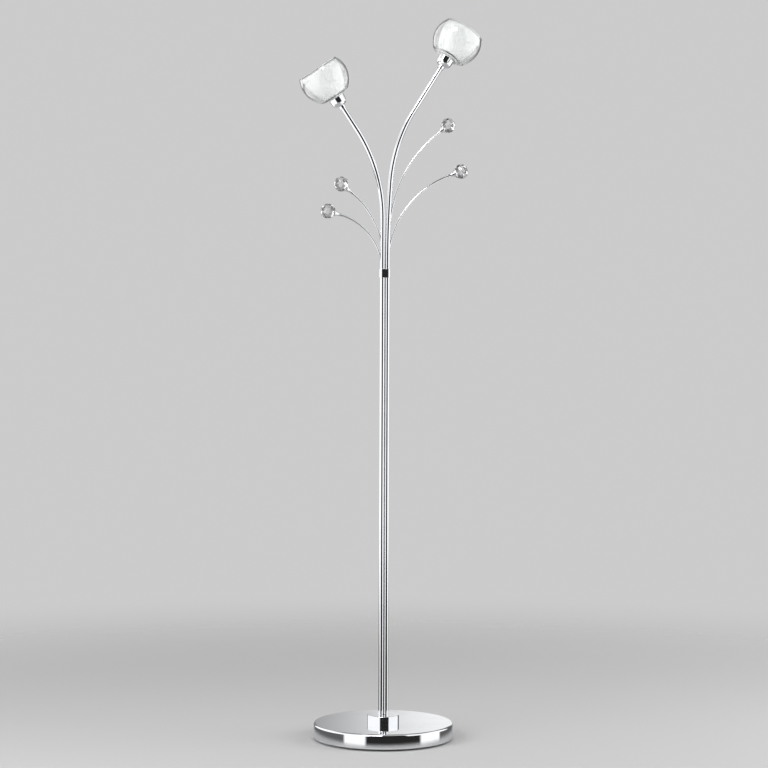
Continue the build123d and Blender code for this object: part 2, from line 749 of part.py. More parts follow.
for name, head in heads.items():
    with BuildPart() as arm_collar:
        with BuildSketch(head.level(cup_base - arm_collar_height)):
            Circle(arm_collar_r)
            Circle(tube_hole_r, mode=Mode.SUBTRACT)
        extrude(amount=arm_collar_height)
    save(arm_collar, f"arm_collar_{name}")

    with BuildPart() as holder_cup:
        with BuildSketch(head.profile):
            with BuildLine():
                FilletPolyline(
                    (tube_hole_r, cup_base),
                    (cup_low_r, cup_base),
                    (cup_top_r, cup_top),
                    radius=cup_corner_r,
                )
                Line((cup_top_r, cup_top), (cup_top_r - cup_wall, cup_top))
                FilletPolyline(
                    (cup_top_r - cup_wall, cup_top),
                    (cup_low_r - cup_wall, cup_inside),
                    (tube_hole_r, cup_inside),
                    radius=cup_inner_corner_r,
                )
                Line((tube_hole_r, cup_inside), (tube_hole_r, cup_base))
            make_face()
        revolve(axis=head.axis)
    save(holder_cup, f"holder_cup_{name}")

    bore_r = carrier_r - carrier_wall
    with BuildPart() as carrier_sleeve:
        with BuildSketch(head.profile):
            with BuildLine():
                Polyline(
                    (tube_hole_r, cup_inside),
                    (carrier_r - carrier_chamfer, cup_inside),
                    (carrier_r, cup_inside + carrier_chamfer),
                    (carrier_r, carrier_top),
                    (bore_r, carrier_top),
                    (bore_r, ceramic_top + clip_groove_height),
                    (bore_r + clip_groove, ceramic_top + clip_groove_height),
                    (bore_r + clip_groove, ceramic_top),
                    (bore_r, ceramic_top),
                    (bore_r, ceramic_base),
                    (tube_hole_r, ceramic_base),
                    close=True,
                )
            make_face()
        revolve(axis=head.axis)
    save(carrier_sleeve, f"carrier_sleeve_{name}")

    with BuildPart() as lampholder:
        with BuildSketch(head.level(ceramic_base)):
            Circle(ceramic_r)
        extrude(amount=ceramic_height)
        with BuildSketch(head.level(ceramic_base)):
            Circle(skirt_r)
        extrude(amount=skirt_depth, mode=Mode.SUBTRACT)
        with BuildSketch(head.level(pocket_floor)):
            Rectangle(pocket_length, pocket_width)
        extrude(amount=pocket_depth, mode=Mode.SUBTRACT)
        with BuildSketch(head.level(cavity_floor)):
            with GridLocations(bulb_pin_spacing, 1, 2, 1):
                Rectangle(contact_cavity_length, contact_cavity_width)
        extrude(amount=contact_cavity_depth, mode=Mode.SUBTRACT)
        with BuildSketch(head.level(skirt_top)):
            with GridLocations(bulb_pin_spacing, 1, 2, 1):
                Circle(contact_tail_r + slip_clear)
        extrude(amount=cavity_floor - skirt_top, mode=Mode.SUBTRACT)
    save(lampholder, f"lampholder_{name}")

    with BuildPart() as glass_gasket:
        with BuildSketch(head.level(cup_top)):
            Circle(cup_top_r)
            Circle(cup_top_r - gasket_width, mode=Mode.SUBTRACT)
        extrude(amount=gasket_t)
    save(glass_gasket, f"glass_gasket_{name}")

    with BuildPart() as outer_glass:
        with BuildSketch(head.profile):
            with BuildLine():
                Line((glass_hole_r, bowl_base), (bowl_flat_r, bowl_base))
                TangentArc((bowl_flat_r, bowl_base), (outer_tangent.X, outer_tangent.Y), tangent=(1, 0))
                ThreePointArc((outer_tangent.X, outer_tangent.Y), (bowl_r, bowl_middle), sphere_point(bowl_r, bowl_rim))
                Line(sphere_point(bowl_r, bowl_rim), sphere_point(bowl_inner_r, bowl_rim))
                ThreePointArc(
                    sphere_point(bowl_inner_r, bowl_rim),
                    (bowl_inner_r, bowl_middle),
                    (inner_tangent.X, inner_tangent.Y),
                )
                TangentArc((inner_flat_r, bowl_floor), (inner_tangent.X, inner_tangent.Y), tangent=(1, 0))
                Line((inner_flat_r, bowl_floor), (glass_hole_r, bowl_floor))
                Line((glass_hole_r, bowl_floor), (glass_hole_r, bowl_base))
            make_face()
        revolve(axis=head.axis)
    save(outer_glass, f"outer_glass_{name}")

    cone_top = bowl_floor + cone_height
    cone_middle = bowl_floor + cone_mid_height
    with BuildPart() as inner_glass:
        with BuildSketch(head.profile):
            with BuildLine():
                Line((glass_hole_r, bowl_floor), (cone_base_r, bowl_floor))
                ThreePointArc((cone_base_r, bowl_floor), (cone_mid_r, cone_middle), (cone_top_r, cone_top))
                Line((cone_top_r, cone_top), (cone_top_r - cone_wall, cone_top))
                ThreePointArc(
                    (cone_top_r - cone_wall, cone_top),
                    (cone_mid_r - cone_wall, cone_middle + cone_wall / 2),
                    (cone_base_r - cone_wall / 2, cone_floor),
                )
                Line((cone_base_r - cone_wall / 2, cone_floor), (glass_hole_r, cone_floor))
                Line((glass_hole_r, cone_floor), (glass_hole_r, bowl_floor))
            make_face()
        revolve(axis=head.axis)
    save(inner_glass, f"inner_glass_{name}")

    with BuildPart() as shade_ring:
        with BuildSketch(head.level(cone_floor + ring_seat_clear)):
            Circle(ring_r)
            Circle(carrier_r + ring_thread_clear, mode=Mode.SUBTRACT)
            with PolarLocations(ring_r, ring_notch_count):
                Circle(ring_notch_r, mode=Mode.SUBTRACT)
        extrude(amount=ring_t)
    save(shade_ring, f"shade_ring_{name}")

    cavity_base = pinch_top + 2 * capsule_wall
    with BuildPart() as bulb_cavity:
        with BuildSketch(head.level(cavity_base)):
            Circle(capsule_r - capsule_wall)
        extrude(amount=capsule_top - capsule_wall - cavity_base)
        fillet(bulb_cavity.edges().group_by(head.axis)[-1], capsule_dome_r - capsule_wall)

    with BuildPart() as bulb:
        with BuildSketch(head.level(pocket_floor)):
            Rectangle(pinch_length, pinch_width)
        extrude(amount=pinch_height + capsule_wall)
        with BuildSketch(head.level(pinch_top)):
            Circle(capsule_r)
        extrude(amount=capsule_height)
        fillet(bulb.edges().group_by(head.axis)[-1], capsule_dome_r)
        add(bulb_cavity.part, mode=Mode.SUBTRACT)
        with BuildSketch(head.level(pocket_floor)):
            with GridLocations(bulb_pin_spacing, 1, 2, 1):
                Circle(bulb_pin_r + tight_clear)
        extrude(amount=bulb_pin_depth, mode=Mode.SUBTRACT)
    save(bulb, f"bulb_{name}")

    filament_height = cavity_base + filament_post_height
    with BuildPart() as bulb_wires:
        with BuildSketch(head.level(pocket_floor - bulb_pin_length)):
            with GridLocations(bulb_pin_spacing, 1, 2, 1):
                Circle(bulb_pin_r)
        extrude(amount=bulb_pin_length + bulb_pin_depth)
        with BuildSketch(head.level(cavity_base)):
            with GridLocations(filament_post_spacing, 1, 2, 1):
                Circle(filament_post_r)
        extrude(amount=filament_post_height)
        filament_start = head.origin + head.along * filament_height - head.across * filament_post_spacing / 2
        with BuildSketch(Plane(origin=filament_start, z_dir=head.across)):
            Circle(filament_r)
        extrude(amount=filament_post_spacing)
    save(bulb_wires, f"bulb_wires_{name}")

with BuildPart() as cup_nuts:
    for head in heads.values():
        with BuildSketch(head.level(ceramic_base)):
            RegularPolygon(nut_across / 2, 6, major_radius=False)
            Circle(tube_hole_r, mode=Mode.SUBTRACT)
        extrude(amount=nut_height)
save(cup_nuts, "cup_nuts")

with BuildPart() as holder_contacts:
    for head in heads.values():
        outer_length = contact_gap + 2 * contact_strip
        with BuildSketch(head.level(cavity_floor)):
            with GridLocations(bulb_pin_spacing, 1, 2, 1):
                Rectangle(outer_length, contact_width)
        extrude(amount=contact_height)
        with BuildSketch(head.level(cavity_floor + contact_strip)):
            with GridLocations(bulb_pin_spacing, 1, 2, 1):
                Rectangle(contact_gap, contact_width)
        extrude(amount=contact_height, mode=Mode.SUBTRACT)
        with BuildSketch(head.level(cavity_floor)):
            with GridLocations(bulb_pin_spacing, 1, 2, 1):
                Circle(contact_tail_r)
        extrude(amount=-contact_tail_length)
save(holder_contacts, "holder_contacts")

clip_outer_r = carrier_r - carrier_wall + clip_groove - slip_clear
with BuildPart() as holder_clips:
    for head in heads.values():
        with BuildSketch(head.level(ceramic_top)):
            Circle(clip_outer_r)
            Circle(clip_outer_r - clip_width, mode=Mode.SUBTRACT)
            with Locations((0, -clip_outer_r)):
                Rectangle(clip_opening, 4 * clip_width, mode=Mode.SUBTRACT)
        extrude(amount=clip_t)
save(holder_clips, "holder_clips")
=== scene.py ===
import json
from math import atan2, cos, degrees, hypot, pi, radians, sin, sqrt

import bmesh
import bpy
from mathutils import Matrix, Vector


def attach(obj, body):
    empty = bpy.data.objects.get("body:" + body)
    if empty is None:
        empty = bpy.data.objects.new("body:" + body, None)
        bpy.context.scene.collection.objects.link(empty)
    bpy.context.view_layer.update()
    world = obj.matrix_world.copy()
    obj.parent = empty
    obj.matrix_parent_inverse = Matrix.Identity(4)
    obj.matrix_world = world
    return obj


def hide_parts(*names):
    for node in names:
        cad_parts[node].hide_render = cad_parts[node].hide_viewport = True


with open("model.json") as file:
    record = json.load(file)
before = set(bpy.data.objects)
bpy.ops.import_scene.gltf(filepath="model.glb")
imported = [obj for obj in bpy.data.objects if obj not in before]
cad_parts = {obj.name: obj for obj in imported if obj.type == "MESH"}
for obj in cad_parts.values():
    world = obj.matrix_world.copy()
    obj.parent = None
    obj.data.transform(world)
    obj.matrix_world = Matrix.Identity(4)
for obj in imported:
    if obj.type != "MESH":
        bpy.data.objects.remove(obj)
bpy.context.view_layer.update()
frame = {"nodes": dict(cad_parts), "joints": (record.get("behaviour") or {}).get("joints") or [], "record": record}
nodes = frame["nodes"]
sides = {"left": -1, "right": 1}
millimetre = Matrix.Scale(0.001, 4)
alongDepth = Matrix.Rotation(radians(90), 4, "X")  # lays a piece that stands on Z along Y
print("frame loaded:", len(nodes), "nodes")

camera = {
    "lens": 87.1,
    "distance": 3.73,
    "height": 0.711,
    "turn": 16.0,  # degrees round the lamp, towards its left side
    "roll": 0.22,
    "aside": -0.001,
}


def placeCamera(size):
    turn, roll = radians(size["turn"]), radians(size["roll"])
    ahead = Vector((sin(turn), cos(turn), 0))
    right = Vector((cos(turn), -sin(turn), 0))
    up = Vector((0, 0, 1))
    place = right * size["aside"] - ahead * size["distance"] + up * size["height"]
    rolledRight = right * cos(roll) + up * sin(roll)
    rolledUp = up * cos(roll) - right * sin(roll)
    view = bpy.data.objects.new("camera", bpy.data.cameras.new("camera"))
    view.data.lens = size["lens"]
    view.matrix_world = Matrix((rolledRight, rolledUp, -ahead)).transposed().to_4x4()
    view.location = place
    bpy.context.scene.collection.objects.link(view)
    bpy.context.scene.camera = view
    return -ahead, right


towardsCamera, cameraRight = placeCamera(camera)


def addNode(tree, kind, values=None, **settings):
    node = tree.nodes.new(kind)
    for key, value in settings.items():
        setattr(node, key, value)
    for key, value in (values or {}).items():
        if isinstance(value, bpy.types.NodeSocket):
            tree.links.new(value, node.inputs[key])
        else:
            node.inputs[key].default_value = value
    return node


def startGroup(name, inputs, outputs):
    tree = bpy.data.node_groups.new(name, "ShaderNodeTree")
    for label, kind in inputs.items():
        tree.interface.new_socket(label, in_out="INPUT", socket_type="NodeSocket" + kind)
    for label, kind in outputs.items():
        tree.interface.new_socket(label, in_out="OUTPUT", socket_type="NodeSocket" + kind)
    return tree, tree.nodes.new("NodeGroupInput").outputs, tree.nodes.new("NodeGroupOutput")


def addMath(tree, operation, a, b=0.0, c=0.0):
    return addNode(tree, "ShaderNodeMath", {0: a, 1: b, 2: c}, operation=operation).outputs[0]


def addRange(tree, value, fromLow, fromHigh, toLow=0.0, toHigh=1.0):
    # eases a value from one range into another
    values = {0: value, 1: fromLow, 2: fromHigh, 3: toLow, 4: toHigh}
    return addNode(tree, "ShaderNodeMapRange", values, interpolation_type="SMOOTHSTEP").outputs[0]


def addMix(tree, share, a, b):
    return addNode(tree, "ShaderNodeMix", {0: share, 2: a, 3: b}).outputs[0]


smudges = {
    "detail": 4.0,
    "roughness": 0.6,
    "blotch": (0.46, 0.72),
    "finer": 11.0,  # specks inside the blotches, this many times finer
    "fineDetail": 2.0,
    "speck": (0.35, 0.75),
    "leastSpeck": 0.6,
}


def makeHandling(size):
    # soft smudges where the lamp is wiped and held: a roughness between clean and marked
    tree, given, out = startGroup(
        "handling marks",
        {"Vector": "Vector", "Size": "Float", "Clean": "Float", "Marked": "Float"},
        {"Roughness": "Float", "Mask": "Float"},
    )
    broad = addNode(
        tree, "ShaderNodeTexNoise",
        {
            "Vector": given["Vector"], "Scale": given["Size"],
            "Detail": size["detail"], "Roughness": size["roughness"],
        },
    )
    fineScale = addMath(tree, "MULTIPLY", given["Size"], size["finer"])
    fine = addNode(
        tree, "ShaderNodeTexNoise",
        {"Vector": given["Vector"], "Scale": fineScale, "Detail": size["fineDetail"]},
    )
    blotch = addRange(tree, broad.outputs["Fac"], *size["blotch"])
    speck = addRange(tree, fine.outputs["Fac"], *size["speck"], size["leastSpeck"], 1.0)
    mask = addMath(tree, "MULTIPLY", blotch, speck)
    span = addMath(tree, "SUBTRACT", given["Marked"], given["Clean"])
    rough = addMath(tree, "MULTIPLY_ADD", mask, span, given["Clean"])
    tree.links.new(rough, out.inputs["Roughness"])
    tree.links.new(mask, out.inputs["Mask"])
    return tree


polishing = {"detail": 3.0, "roughness": 0.7, "thin": (0.5, 0.62)}


def makeHairlines(size):
    # fine polishing lines, stretched along whatever the vector has been squeezed by
    tree, given, out = startGroup(
        "polishing lines",
        {"Vector": "Vector", "Size": "Float", "Depth": "Float"},
        {"Height": "Float"},
    )
    lines = addNode(
        tree, "ShaderNodeTexNoise",
        {
            "Vector": given["Vector"], "Scale": given["Size"],
            "Detail": size["detail"], "Roughness": size["roughness"],
        },
    )
    thin = addRange(tree, lines.outputs["Fac"], *size["thin"])
    tree.links.new(addMath(tree, "MULTIPLY", thin, given["Depth"]), out.inputs["Height"])
    return tree


mottling = {"detail": 6.0, "roughness": 0.65, "spread": (0.3, 0.7)}


def makeGrain(size):
    # two mottled tones with matching roughness and relief, for cast, moulded and fired surfaces
    tree, given, out = startGroup(
        "grain",
        {
            "Vector": "Vector", "Size": "Float", "Dark": "Color", "Light": "Color",
            "Smooth": "Float", "Rough": "Float",
        },
        {"Color": "Color", "Roughness": "Float", "Height": "Float"},
    )
    noise = addNode(
        tree, "ShaderNodeTexNoise",
        {
            "Vector": given["Vector"], "Scale": given["Size"],
            "Detail": size["detail"], "Roughness": size["roughness"],
        },
    )
    share = addRange(tree, noise.outputs["Fac"], *size["spread"])
    tone = addNode(
        tree, "ShaderNodeMix", {0: share, 6: given["Dark"], 7: given["Light"]}, data_type="RGBA"
    )
    span = addMath(tree, "SUBTRACT", given["Rough"], given["Smooth"])
    rough = addMath(tree, "MULTIPLY_ADD", share, span, given["Smooth"])
    tree.links.new(tone.outputs[2], out.inputs["Color"])
    tree.links.new(rough, out.inputs["Roughness"])
    tree.links.new(noise.outputs["Fac"], out.inputs["Height"])
    return tree


handling, hairlines, grain = makeHandling(smudges), makeHairlines(polishing), makeGrain(mottling)


def startMaterial(name, settings):
    material = bpy.data.materials.new(name)
    material.use_nodes = True
    tree = material.node_tree
    shader = tree.nodes["Principled BSDF"]
    for key, value in settings.items():
        shader.inputs[key].default_value = value
    place = tree.nodes.new("ShaderNodeTexCoord").outputs["Object"]
    return material, tree, shader, place


def fillGroup(tree, group, values):
    return addNode(tree, "ShaderNodeGroup", values, node_tree=group)


def addBump(tree, shader, height, strength, distance):
    bump = addNode(
        tree, "ShaderNodeBump", {"Height": height, "Strength": strength, "Distance": distance}
    )
    tree.links.new(bump.outputs["Normal"], shader.inputs["Normal"])


chromeLook = {
    "clean": 0.035,
    "marked": 0.11,
    "tone": (0.80, 0.81, 0.83, 1),
    "markedTone": (0.72, 0.73, 0.75, 1),
    "lineSize": 900.0,
    "lineDepth": 0.0002,
    "tubeMarks": 14.0,
    "tubeStretch": (1, 1, 0.02),  # the tubes are polished lengthwise
    "tubeLines": 0.012,
    "spunMarks": 9.0,
    "spunLines": 0.015,
}


def plateChrome(tree, shader, place, markSize, across, strength):
    # smudges on the plating, and polishing lines that run where the vector across stays the same
    marks = fillGroup(
        tree, handling,
        {
            "Vector": place, "Size": markSize,
            "Clean": chromeLook["clean"], "Marked": chromeLook["marked"],
        },
    )
    tone = addNode(
        tree, "ShaderNodeMix",
        {0: marks.outputs["Mask"], 6: chromeLook["tone"], 7: chromeLook["markedTone"]},
        data_type="RGBA",
    )
    lines = fillGroup(
        tree, hairlines, {"Vector": across, "Size": chromeLook["lineSize"], "Depth": 1.0}
    )
    tree.links.new(tone.outputs[2], shader.inputs["Base Color"])
    tree.links.new(marks.outputs["Roughness"], shader.inputs["Roughness"])
    addBump(tree, shader, lines.outputs["Height"], strength, chromeLook["lineDepth"])


def makeChrome():
    material, tree, shader, place = startMaterial("plated chrome", {"Metallic": 1.0})
    squeezed = addNode(
        tree, "ShaderNodeMapping", {"Vector": place, "Scale": chromeLook["tubeStretch"]}
    )
    plateChrome(
        tree, shader, place, chromeLook["tubeMarks"], squeezed.outputs[0], chromeLook["tubeLines"]
    )
    return material


def makeSpunChrome():
    # the cover is polished on a lathe, so its lines run round the lamp's axis
    material, tree, shader, place = startMaterial("spun chrome", {"Metallic": 1.0})
    flat = addNode(tree, "ShaderNodeVectorMath", {0: place, 1: (1, 1, 0)}, operation="MULTIPLY")
    radius = addNode(tree, "ShaderNodeVectorMath", {0: flat.outputs[0]}, operation="LENGTH")
    height = addNode(tree, "ShaderNodeSeparateXYZ", {0: place}).outputs["Z"]
    ringed = addNode(tree, "ShaderNodeCombineXYZ", {"X": radius.outputs["Value"], "Z": height})
    plateChrome(
        tree, shader, place, chromeLook["spunMarks"], ringed.outputs[0], chromeLook["spunLines"]
    )
    return material


glassLook = {
    "marks": 30.0,
    "wave": 26.0,
    "waveDetail": 1.0,
    "waveStrength": 0.05,
    "waveDepth": 0.001,
    "shadow": (0.96, 0.97, 0.97, 1),
}


def makeGlass(name, settings, clean, marked):
    material, tree, shader, place = startMaterial(name, settings)
    marks = fillGroup(
        tree, handling,
        {"Vector": place, "Size": glassLook["marks"], "Clean": clean, "Marked": marked},
    )
    tree.links.new(marks.outputs["Roughness"], shader.inputs["Roughness"])
    wave = addNode(
        tree, "ShaderNodeTexNoise",
        {"Vector": place, "Scale": glassLook["wave"], "Detail": glassLook["waveDetail"]},
    )
    addBump(tree, shader, wave.outputs["Fac"], glassLook["waveStrength"], glassLook["waveDepth"])
    return material, tree, shader


def letLampsThrough(tree, shader):
    # lamps reach the frosted cup through the clear bowl
    shadow = tree.nodes.new("ShaderNodeLightPath").outputs["Is Shadow Ray"]
    clear = addNode(tree, "ShaderNodeBsdfTransparent", {"Color": glassLook["shadow"]}).outputs[0]
    mix = addNode(tree, "ShaderNodeMixShader", {0: shadow, 1: shader.outputs[0], 2: clear})
    tree.links.new(mix.outputs[0], tree.nodes["Material Output"].inputs["Surface"])


grainDepth = 0.0005


def makeGrained(name, dark, light, size, smooth, rough, relief, settings=None):
    material, tree, shader, place = startMaterial(name, settings or {})
    mottle = fillGroup(
        tree, grain,
        {
            "Vector": place, "Size": size, "Dark": (*dark, 1), "Light": (*light, 1),
            "Smooth": smooth, "Rough": rough,
        },
    )
    tree.links.new(mottle.outputs["Color"], shader.inputs["Base Color"])
    tree.links.new(mottle.outputs["Roughness"], shader.inputs["Roughness"])
    addBump(tree, shader, mottle.outputs["Height"], relief, grainDepth)
    return material


metal = {"Metallic": 1.0}
looks = {
    "chrome": makeChrome(),
    "spun_chrome": makeSpunChrome(),
    "zinc_steel": makeGrained(
        "zinc plated steel", (0.50, 0.51, 0.54), (0.66, 0.67, 0.70), 260.0, 0.28, 0.42, 0.12, metal
    ),
    "spring_steel": makeGrained(
        "spring steel", (0.56, 0.55, 0.52), (0.68, 0.67, 0.64), 300.0, 0.22, 0.34, 0.08, metal
    ),
    "pin_steel": makeGrained(
        "ground steel", (0.60, 0.61, 0.63), (0.70, 0.71, 0.73), 400.0, 0.14, 0.24, 0.05, metal
    ),
    "cement": makeGrained(
        "cast cement", (0.36, 0.35, 0.33), (0.52, 0.51, 0.49), 90.0, 0.85, 0.95, 0.6
    ),
    "brass": makeGrained(
        "turned brass", (0.62, 0.46, 0.20), (0.76, 0.60, 0.30), 240.0, 0.22, 0.34, 0.08, metal
    ),
    "foot_rubber": makeGrained(
        "foam rubber", (0.012, 0.012, 0.013), (0.035, 0.035, 0.037), 420.0, 0.75, 0.92, 0.5
    ),
    "black_plastic": makeGrained(
        "black plastic", (0.016, 0.016, 0.018), (0.030, 0.030, 0.033), 520.0, 0.34, 0.46, 0.12
    ),
    "white_plastic": makeGrained(
        "natural plastic", (0.74, 0.74, 0.70), (0.84, 0.84, 0.81), 300.0, 0.38, 0.50, 0.10
    ),
    "turned_aluminium": makeGrained(
        "turned aluminium", (0.66, 0.67, 0.68), (0.78, 0.79, 0.80), 340.0, 0.20, 0.32, 0.10, metal
    ),
    "holder_ceramic": makeGrained(
        "fired ceramic", (0.78, 0.76, 0.70), (0.88, 0.87, 0.83), 200.0, 0.55, 0.72, 0.15
    ),
    "clear_silicone": makeGrained(
        "clear silicone", (0.70, 0.70, 0.68), (0.80, 0.80, 0.78), 160.0, 0.42, 0.55, 0.08
    ),
    "bulb_metal": makeGrained(
        "bulb wire", (0.40, 0.40, 0.41), (0.56, 0.56, 0.57), 500.0, 0.30, 0.42, 0.05, metal
    ),
    "lead_sheath": makeGrained(
        "lead sheath", (0.74, 0.74, 0.72), (0.84, 0.84, 0.82), 260.0, 0.45, 0.58, 0.10
    ),
}
clearSettings = {"Base Color": (0.96, 0.966, 0.966, 1), "Transmission Weight": 1.0, "IOR": 1.5}
looks["clear_glass"], clearTree, clearShader = makeGlass("clear glass", clearSettings, 0.0, 0.04)
letLampsThrough(clearTree, clearShader)
crystalSettings = {"Base Color": (0.99, 0.99, 1.0, 1), "Transmission Weight": 1.0, "IOR": 1.65}
looks["crystal"] = makeGlass("cut crystal", crystalSettings, 0.0, 0.02)[0]
bulbSettings = {"Base Color": (0.98, 0.98, 0.98, 1), "Transmission Weight": 1.0, "IOR": 1.46}
looks["bulb_glass"], bulbTree, bulbShader = makeGlass("bulb glass", bulbSettings, 0.0, 0.03)
letLampsThrough(bulbTree, bulbShader)
frostSettings = {
    "Base Color": (0.97, 0.97, 0.97, 1), "Transmission Weight": 0.08, "IOR": 1.45,
    "Specular IOR Level": 0.3,
}
looks["frosted_glass"] = makeGlass("frosted glass", frostSettings, 0.42, 0.52)[0]
print("materials ready:", len(looks))


mergeDistance = 0.002  # millimetres
cornerReach = 0.01  # how near an edge has to lie to a corner that is named
rimReach = 0.1  # the same, to a piece's outer side
sharpTurn = 60.0  # degrees between two faces past which softenSharp rounds their edge


def turnAround(line, steps):
    # a closed outline of points (radius, height) and arcs (centre radius, centre height,
    # degrees, steps), turned a full circle
    bm = bmesh.new()
    tip = bm.verts.new((line[0][0], 0, line[0][1]))
    for stroke in line[1:]:
        if len(stroke) == 2:
            made = bmesh.ops.extrude_vert_indiv(bm, verts=[tip])
            tip = made["verts"][0]
            tip.co = (stroke[0], 0, stroke[1])
        else:
            centreR, centreH, turn, count = stroke
            made = bmesh.ops.spin(
                bm, geom=[tip], cent=(centreR, 0, centreH), axis=(0, -1, 0),
                angle=radians(turn), steps=count, use_duplicate=False,
            )
            tip = [v for v in made["geom_last"] if isinstance(v, bmesh.types.BMVert)][0]
    bmesh.ops.remove_doubles(bm, verts=bm.verts, dist=mergeDistance)
    bmesh.ops.spin(
        bm, geom=bm.verts[:] + bm.edges[:], cent=(0, 0, 0), axis=(0, 0, 1),
        angle=2 * pi, steps=steps, use_merge=True, use_duplicate=False,
    )
    bmesh.ops.remove_doubles(bm, verts=bm.verts, dist=mergeDistance)
    return bm


def softenRings(bm, corners):
    # rounds the turned corners given as radius, height, width and segments
    for radius, height, width, segments in corners:
        ring = [
            e for e in bm.edges
            if all(
                abs(hypot(*v.co.xy) - radius) < cornerReach and abs(v.co.z - height) < cornerReach
                for v in e.verts
            )
        ]
        bmesh.ops.bevel(
            bm, geom=ring, affect="EDGES", offset=width, offset_type="OFFSET",
            segments=segments, profile=0.5, material=-1,
        )


def finishPiece(name, bm, body, slotName, replaced, place=None, look=None, sharp=35.0):
    if bm.calc_volume(signed=True) < 0:
        bmesh.ops.reverse_faces(bm, faces=bm.faces)
    bm.transform(millimetre @ (place or Matrix.Identity(4)))
    mesh = bpy.data.meshes.new(name)
    bm.to_mesh(mesh)
    bm.free()
    mesh.shade_smooth()
    mesh.set_sharp_from_angle(angle=radians(sharp))
    piece = bpy.data.objects.new(name, mesh)
    bpy.context.scene.collection.objects.link(piece)
    mesh.materials.append(looks[look or slotName])
    flats = piece.modifiers.new("even flats", "WEIGHTED_NORMAL")
    flats.keep_sharp = True
    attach(piece, body)
    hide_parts(*replaced)
    return piece


def cutAway(piece, cutter):
    # takes the cutter's shape out of a piece for good
    cut = piece.modifiers.new("cut", "BOOLEAN")
    cut.object, cut.operation, cut.solver = cutter, "DIFFERENCE", "EXACT"
    with bpy.context.temp_override(object=piece, active_object=piece):
        bpy.ops.object.modifier_move_to_index(modifier="cut", index=0)
        bpy.ops.object.modifier_apply(modifier="cut")
    bpy.data.objects.remove(cutter)


def makeCutter(bm):
    bm.transform(millimetre)
    mesh = bpy.data.meshes.new("cutter")
    bm.to_mesh(mesh)
    bm.free()
    cutter = bpy.data.objects.new("cutter", mesh)
    bpy.context.scene.collection.objects.link(cutter)
    return cutter


def edgesAround(verts):
    # each edge once, in the same order every run
    return list(dict.fromkeys(e for v in verts for e in v.link_edges))


def addLoop(bm, radius, height, segments, halfStraight=0.0):
    # a ring of edges, or an obround one when it is stretched along X
    made = bmesh.ops.create_circle(bm, cap_ends=False, segments=segments, radius=radius)
    for v in made["verts"]:
        v.co.z = height
        if abs(v.co.x) > mergeDistance:
            v.co.x += halfStraight if v.co.x > 0 else -halfStraight
    return edgesAround(made["verts"])


def bridgeLoops(bm, loops):
    for first, second in zip(loops, loops[1:] + loops[:1]):
        bmesh.ops.bridge_loops(bm, edges=first + second)


def softenSharp(bm, width, segments, chosen):
    # rounds the sharp edges whose two ends are both chosen
    edges = [
        e for e in bm.edges
        if len(e.link_faces) == 2 and e.calc_face_angle(0) > radians(sharpTurn)
        and all(chosen(v.co) for v in e.verts)
    ]
    bmesh.ops.bevel(
        bm, geom=edges, affect="EDGES", offset=width, offset_type="OFFSET",
        segments=segments, profile=0.5, material=-1,
    )


base = {
    "coverR": 140.0,
    "coverTop": 33.0,
    "wall": 1.0,
    "edgeR": 4.0,
    "footHeight": 4.0,
    "footR": 125.0,
    "footWidth": 25.0,
    "hemHeight": 3.0,
    "footSoft": 1.0,
    "wireHoleR": 12.0,
    "glandR": 5.1,
    "cordHeight": 13.0,
    "steps": 256,
    "footSteps": 192,
}


def makeBase(size):
    r, top, wall, edge = size["coverR"], size["coverTop"], size["wall"], size["edgeR"]
    foot, hemTop = size["footHeight"], size["footHeight"] + size["hemHeight"]
    bm = turnAround(
        [
            (size["wireHoleR"], top),
            (r - edge, top),
            (r - edge, top - edge, -90, 10),
            (r, foot + wall),
            (r - wall, foot + wall, -180, 8),
            (r - 2 * wall, hemTop),
            (r - wall, hemTop),
            (r - wall, top - edge),
            (r - edge, top - edge, 90, 6),
            (size["wireHoleR"], top - wall),
            (size["wireHoleR"], top),
        ],
        size["steps"],
    )
    cover = finishPiece("base_cover_spun", bm, "lamp", "chrome", ["base_cover"], look="spun_chrome")
    bm = bmesh.new()
    drill = Matrix.Translation((0, r, size["cordHeight"])) @ alongDepth
    bmesh.ops.create_cone(
        bm, cap_ends=True, segments=48, radius1=size["glandR"], radius2=size["glandR"],
        depth=8 * wall, matrix=drill,
    )
    cutAway(cover, makeCutter(bm))
    outer, inner = size["footR"], size["footR"] - size["footWidth"]
    bm = turnAround(
        [(inner, 0), (outer, 0), (outer, foot), (inner, foot), (inner, 0)], size["footSteps"]
    )
    softenRings(bm, [(inner, 0, size["footSoft"], 3), (outer, 0, size["footSoft"], 3)])
    finishPiece("foot_ring_foam", bm, "lamp", "foot_rubber", ["foot_ring"])


makeBase(base)

gland = {
    "innerY": 127.0,
    "seatY": 140.0,
    "outerY": 142.0,
    "boreR": 3.6,
    "bodyR": 5.0,
    "flangeR": 7.0,
    "soft": 0.8,
    "steps": 64,
}


def makeGland(size):
    bore, body, flange = size["boreR"], size["bodyR"], size["flangeR"]
    bm = turnAround(
        [
            (bore, size["innerY"]), (body, size["innerY"]), (body, size["seatY"]),
            (flange, size["seatY"]), (flange, size["outerY"]), (bore, size["outerY"]),
            (bore, size["innerY"]),
        ],
        size["steps"],
    )
    mouth, soft = size["outerY"], size["soft"]
    softenRings(bm, [(flange, mouth, soft, 4), (bore, mouth, soft, 4)])
    along = Matrix.Translation((0, 0, base["cordHeight"])) @ alongDepth.inverted()
    finishPiece("cord_gland_bush", bm, "lamp", "black_plastic", ["cord_gland"], along)


makeGland(gland)
print("base done")

